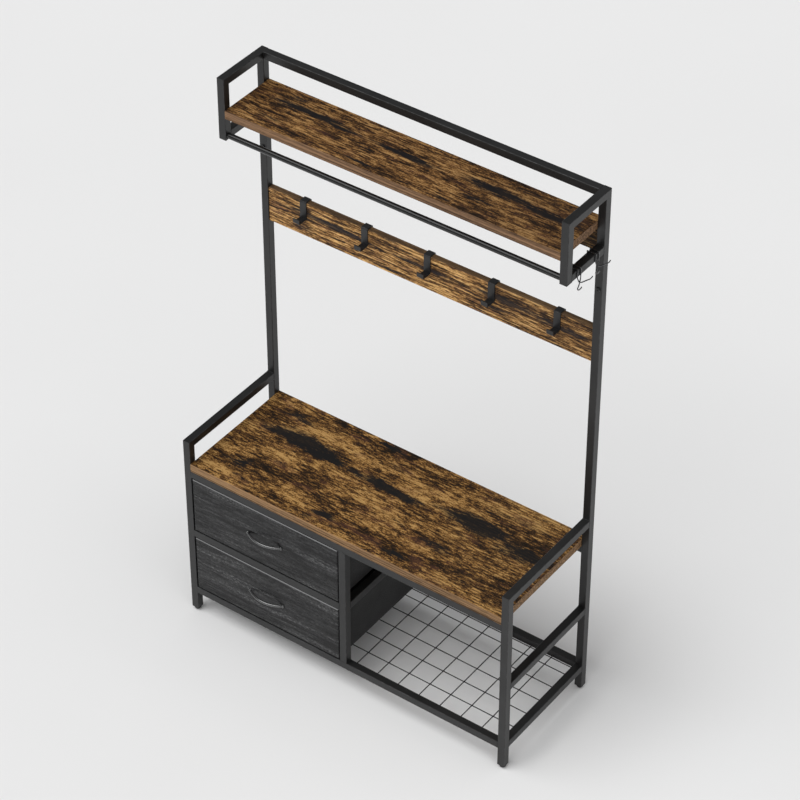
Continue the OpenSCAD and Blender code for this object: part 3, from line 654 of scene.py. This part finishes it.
# ---------------------------------------------------------------- mesh shelf
def mesh_panel():
    """Welded wire: the upper wires sink a little at each crossing, where a nugget joins them."""
    low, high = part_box("mesh_shelf")
    places = [v.co for v in nodes["mesh_shelf"].data.vertices]
    radius = 1.5 * MM
    lower_z, upper_z = low.z + radius, high.z - radius
    # wire places, from the CAD's own vertices: the upper wires run along y, the lower ones along x
    middle = (low.z + high.z) / 2
    xs = {round(v.x, 4) for v in places if v.z > middle}
    ys = {round(v.y, 4) for v in places if v.z < middle}

    def centres(values):
        values, out = sorted(values), []
        group = [values[0]]
        for value in values[1:]:
            if value - group[-1] < 0.004:
                group.append(value)
            else:
                out.append((group[0] + group[-1]) / 2)
                group = [value]
        out.append((group[0] + group[-1]) / 2)
        return out

    xs, ys = centres(xs), centres(ys)
    bm = bmesh.new()
    for x in xs:
        path = [Vector((x, low.y + (high.y - low.y) * k / 40, upper_z)) for k in range(41)]
        for point in path:
            near = min(abs(point.y - y) for y in ys)
            point.z -= 0.35 * MM * math.exp(-(near / 0.006) ** 2)
        sweep(bm, path, radius, 12)
    for y in ys:
        path = [Vector((low.x + (high.x - low.x) * k / 100, y, lower_z)) for k in range(101)]
        sweep(bm, path, radius, 12)
    for x in xs:
        for y in ys:
            nugget = Matrix.Translation((x, y, (lower_z + upper_z) / 2))
            nugget @= Matrix.Diagonal((2.1 * MM, 2.1 * MM, 1.3 * MM, 1))
            bmesh.ops.create_icosphere(bm, subdivisions=2, radius=1.0, matrix=nugget)
    mesh = finish_mesh(bm, "wire_mesh")
    add_piece("wire_mesh", mesh, wire_paint, "frame", ["mesh_shelf"])


# ---------------------------------------------------------------- wire hooks
# A prong's bends from the weld on, as millimetres outwards, sideways and up.
PRONG = ((0.0, 0.0, 0.0), (1.5, 5.0, -4.4), (3.2, 10.8, -6.4), (5.6, 17.2, -6.2), (9.6, 22.8, -4.6),
         (14.6, 25.4, -1.2), (19.0, 25.8, 5.0), (21.4, 25.2, 10.0))


def wire_hook(which):
    """Two strands over the rail, welded below it, that curl out to the two sides and up."""
    low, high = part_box(f"wire_hook_{which}")
    rail_low, rail_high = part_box("right_shelf_rail")
    y = (low.y + high.y) / 2
    r, clear = 1.45 * MM, 1.7 * MM
    face, inside = rail_high.x + clear, rail_low.x - clear
    top = rail_high.z + clear
    cross = rail_low.z - 14 * MM
    bm = bmesh.new()
    for side in (-1, 1):
        lift = 1.25 * MM * (1 + side)  # one strand passes in front of the other
        points = [Vector((inside, y + side * 4.2 * MM, top - 18 * MM)),
                  Vector((inside, y + side * 5.4 * MM, top - 9 * MM)),
                  Vector((inside + 0.3 * MM, y + side * 6.2 * MM, top - 1.4 * MM)),
                  Vector((inside + 1.6 * MM, y + side * 6.3 * MM, top)),
                  Vector(((inside + face) / 2, y + side * 6.4 * MM, top)),
                  Vector((face - 1.6 * MM, y + side * 6.4 * MM, top)),
                  Vector((face - 0.1 * MM, y + side * 6.5 * MM, top - 1.6 * MM)),
                  Vector((face, y + side * 7.1 * MM, top - 12 * MM)),
                  Vector((face, y + side * 7.0 * MM, rail_low.z + 1 * MM)),
                  Vector((face + lift * 0.7, y + side * 3.6 * MM, cross + 7 * MM))]
        weld = Vector((face + lift, y, cross))
        points += [weld + Vector((a, -side * b, c)) * MM for a, b, c in PRONG]
        sweep(bm, spline(points, 6), r, 12)
        for end in (points[0], points[-1]):
            bmesh.ops.create_uvsphere(bm, u_segments=12, v_segments=8, radius=r * 1.04,
                                      matrix=Matrix.Translation(end))
    drop = Matrix.Translation((face + 1.4 * MM, y, cross + 0.5 * MM))
    drop @= Matrix.Diagonal((2.3 * MM, 2.1 * MM, 3.1 * MM, 1))
    bmesh.ops.create_icosphere(bm, subdivisions=2, radius=1.0, matrix=drop)
    mesh = finish_mesh(bm, f"bent_wire_{which}")
    add_piece(f"bent_wire_{which}", mesh, bright_wire, f"wire_hook_{which}",
              [f"wire_hook_{which}"])


# ---------------------------------------------------------------- weld beads
def weld_ring(bm, low, high, axis, at, rng):
    """A fine bead around a square tube whose end meets another tube at `at` on axis."""
    a, b = [k for k in range(3) if k != axis]
    r_corner = 1.6 * MM
    a0, a1, b0, b1 = low[a] + r_corner, high[a] - r_corner, low[b] + r_corner, high[b] - r_corner
    corners = [(a1, b1, 0), (a0, b1, 90), (a0, b0, 180), (a1, b0, 270)]
    path = []
    for i, (ca, cb, start) in enumerate(corners):
        for k in range(4):
            t = math.radians(start + 30 * k)
            path.append((ca + r_corner * math.cos(t), cb + r_corner * math.sin(t)))
        na, nb, nstart = corners[(i + 1) % 4]
        t = math.radians(nstart)
        end = (na + r_corner * math.cos(t), nb + r_corner * math.sin(t))
        begin = path[-1]
        for k in range(1, 9):
            path.append(tuple(u + (v - u) * k / 9 for u, v in zip(begin, end)))
    points, radii = [], []
    for i, (pa, pb) in enumerate(path):
        point = Vector((0, 0, 0))
        point[axis], point[a], point[b] = at, pa, pb
        points.append(point)
        radii.append((0.75 + 0.22 * math.sin(i * 1.9) + rng.uniform(-0.12, 0.12)) * MM)
    points.append(points[0].copy())
    radii.append(radii[0])
    sweep(bm, points, radii, 8, close_ends=False)


def weld_beads():
    rng = random.Random(4)
    bm = bmesh.new()
    for side in ("left", "right"):
        for rail in ("middle_rail", "bottom_rail", "shelf_rail"):
            low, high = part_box(f"{side}_{rail}")
            weld_ring(bm, low, high, 1, low.y, rng)
            weld_ring(bm, low, high, 1, high.y, rng)
        low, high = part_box(f"{side}_arm_rail")
        weld_ring(bm, low, high, 1, high.y, rng)
    for upright in ("centre_front_upright", "centre_rear_upright"):
        low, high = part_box(upright)
        weld_ring(bm, low, high, 2, low.z, rng)
        weld_ring(bm, low, high, 2, high.z, rng)
    for rail in ("drawer_front_rail", "drawer_rear_rail"):
        low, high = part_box(rail)
        weld_ring(bm, low, high, 0, high.x, rng)
    low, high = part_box("centre_runner")
    weld_ring(bm, low, high, 1, low.y, rng)
    weld_ring(bm, low, high, 1, high.y, rng)
    mesh = finish_mesh(bm, "weld_beads")
    add_piece("weld_beads", mesh, paint, "frame")


for index, which in enumerate(("upper", "lower")):
    drawer_front(which)
    fabric_box(which, 3.0 + 11.0 * index)
    handle(which)
for which in ("front", "rear"):
    wire_hook(which)
mesh_panel()
weld_beads()


# ---------------------------------------------------------------- floor and light
def floor_material():
    g = Graph("floor")
    cloud = g.noise(g.place(), (0.8, 0.8, 0.8), 2.0)
    color = g.mix(g.step(cloud, 0.3, 0.7), (0.80, 0.80, 0.80), (0.81, 0.81, 0.81))
    return g.shade(color, 0.9, IOR=1.3)


bpy.ops.mesh.primitive_plane_add(size=60.0, location=(0, 0, -0.0002))
floor = bpy.context.object
floor.name = "floor"
floor.data.materials.append(floor_material())

world = bpy.data.worlds.new("world")
bpy.context.scene.world = world
world.use_nodes = True
background = world.node_tree.nodes["Background"]
background.inputs[0].default_value = (0.99, 0.995, 1.0, 1.0)
background.inputs[1].default_value = 0.19


def sun(name, azimuth, elevation, strength, spread):
    """azimuth 0 shines from the front, and a positive one from the right."""
    data = bpy.data.lights.new(name, "SUN")
    data.energy = strength
    data.angle = math.radians(spread)
    light = bpy.data.objects.new(name, data)
    light.rotation_euler = (math.radians(90.0 - elevation), 0.0, math.radians(azimuth))
    bpy.context.scene.collection.objects.link(light)
    return light


sun("key", azimuth=-28.0, elevation=60.0, strength=1.6, spread=50.0)
fill = sun("fill", azimuth=35.0, elevation=62.0, strength=1.42, spread=110.0)
fill.visible_glossy = False
bpy.context.scene.view_settings.view_transform = "Standard"
bpy.context.scene.view_settings.look = "None"
